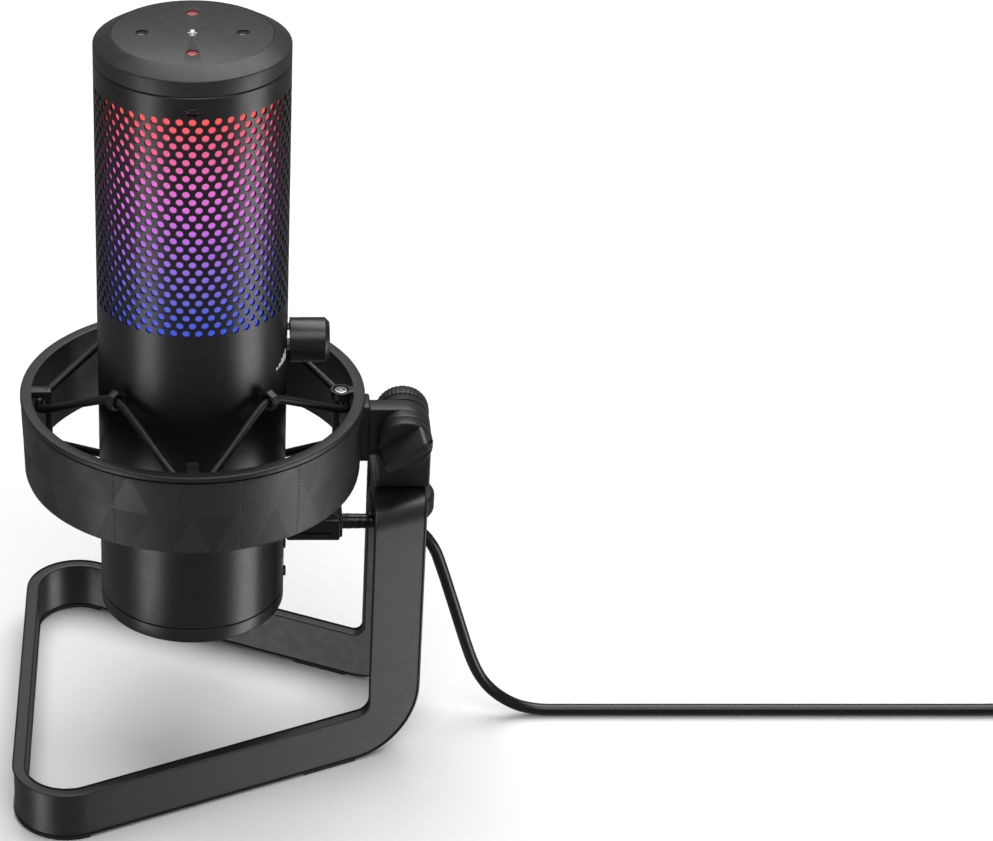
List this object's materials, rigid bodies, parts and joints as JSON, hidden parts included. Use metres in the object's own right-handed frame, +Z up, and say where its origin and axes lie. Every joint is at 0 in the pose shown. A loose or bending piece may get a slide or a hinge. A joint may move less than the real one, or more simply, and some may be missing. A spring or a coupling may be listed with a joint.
{
  "type": "desktop microphone",
  "caption": "Round desktop condenser microphone with a lit perforated grille, hung on elastic cord in a ring that tilts on a bent-bar table stand, with its cable.",
  "frame": {"origin": "middle of the footprint's box, on the table, measured without the cable", "axes": "+Z up along the microphone's axis, -Y the front where the speaker sits, +X towards the stand's uprights"},
  "size_m": [0.3793, 0.1272, 0.2289],
  "materials": {
    "stand_powder": "satin powder coat over bent steel bar",
    "foot_rubber": "matt",
    "cord_sheath": "smooth, soft shine",
    "bright_steel": "satin",
    "moulded_black": "fine moulded grain",
    "band_skin": "soft coat with pressed facets and dotted lines",
    "elastic_cord": "braided sleeve",
    "mic_satin": "satin paint",
    "cap_satin": "fine satin",
    "lens_lit": "clear lens, lit red",
    "lens_dark": "smoked lens",
    "diffuser_white": "milky, lit from inside",
    "circuit_board": "solder mask",
    "capsule_brass": "satin"
  },
  "bodies": {
    "stand": {"stand_frame": "stand_powder", "foot_pad_left_front": "foot_rubber", "foot_pad_left_rear": "foot_rubber", "foot_pad_right_front": "foot_rubber", "foot_pad_right_rear": "foot_rubber", "cable_run": "cord_sheath", "cable_coil": "cord_sheath", "cable_tail": "cord_sheath", "cable_tie": "foot_rubber", "host_plug_grip": "cord_sheath", "host_plug_shell": "bright_steel"},
    "lock": {"lock_knob": "moulded_black", "lock_stud": "bright_steel"},
    "swivel": {"swivel_fork": "moulded_black", "clamp_nut": "moulded_black"},
    "clamp": {"clamp_knob": "moulded_black", "clamp_screw": "bright_steel"},
    "head": {"ring_frame": "moulded_black", "ring_band": "band_skin", "arm_screw_upper": "bright_steel", "arm_screw_lower": "bright_steel", "elastic_upper": "elastic_cord", "elastic_lower": "elastic_cord"},
    "microphone": {"body_tube": "mic_satin", "base_cap": "mic_satin", "base_screw_left": "bright_steel", "base_screw_right": "bright_steel", "top_cap": "cap_satin", "touch_plate": "cap_satin", "pattern_lens_front": "lens_lit", "pattern_lens_right": "lens_dark", "pattern_lens_rear": "lens_lit", "pattern_lens_left": "lens_dark", "touch_board": "circuit_board", "mute_window": "lens_dark", "diffuser_tube": "diffuser_white", "light_board_front": "circuit_board", "light_board_rear": "circuit_board", "chassis": "moulded_black", "capsule": "capsule_brass", "capsule_cradle": "foot_rubber", "main_board": "circuit_board", "usb_socket": "bright_steel", "jack_socket": "bright_steel", "gain_pot": "bright_steel", "button_switch": "moulded_black", "clip_upper_front_right": "moulded_black", "clip_upper_rear_right": "moulded_black", "clip_upper_rear_left": "moulded_black", "clip_upper_front_left": "moulded_black", "clip_lower_front_right": "moulded_black", "clip_lower_rear_right": "moulded_black", "clip_lower_rear_left": "moulded_black", "clip_lower_front_left": "moulded_black", "plug_shell": "bright_steel", "plug_grip": "cord_sheath", "strain_relief": "cord_sheath"},
    "gain": {"gain_knob": "mic_satin", "gain_shaft": "bright_steel"},
    "button": {"light_button": "lens_dark"}
  },
  "joints": [
    {"name": "head_swivel", "type": "hinge", "parent": "stand", "child": "swivel", "pos_m": [0.0528, 0, 0.0866], "axis": [0, 0, 1], "range_deg": [-25, 25]},
    {"name": "lock_turn", "type": "hinge", "parent": "stand", "child": "lock", "pos_m": [0.0528, 0, 0.079], "axis": [0, 0, 1], "continuous": true},
    {"name": "arm_tilt", "type": "hinge", "parent": "swivel", "child": "head", "pos_m": [0.0528, 0, 0.1035], "axis": [0, 1, 0], "range_deg": [-10, 45], "deforming": ["cable_run"]},
    {"name": "clamp_turn", "type": "hinge", "parent": "swivel", "child": "clamp", "pos_m": [0.0528, 0, 0.1035], "axis": [0, 1, 0], "continuous": true},
    {"name": "elastic_float", "type": "slide", "parent": "head", "child": "microphone", "axis": [0, 0, 1], "range_m": [-0.002, 0.002], "stiffness_N_per_m": 2500, "springref_m": 0.00087, "deforming": ["elastic_upper", "elastic_lower"]},
    {"name": "gain_turn", "type": "hinge", "parent": "microphone", "child": "gain", "pos_m": [-0.0094, 0, 0.133], "axis": [1, 0, 0], "range_deg": [-135, 135]},
    {"name": "button_press", "type": "slide", "parent": "microphone", "child": "button", "axis": [-1, 0, 0], "range_m": [0, 0.0006], "stiffness_N_per_m": 600}
  ]
}
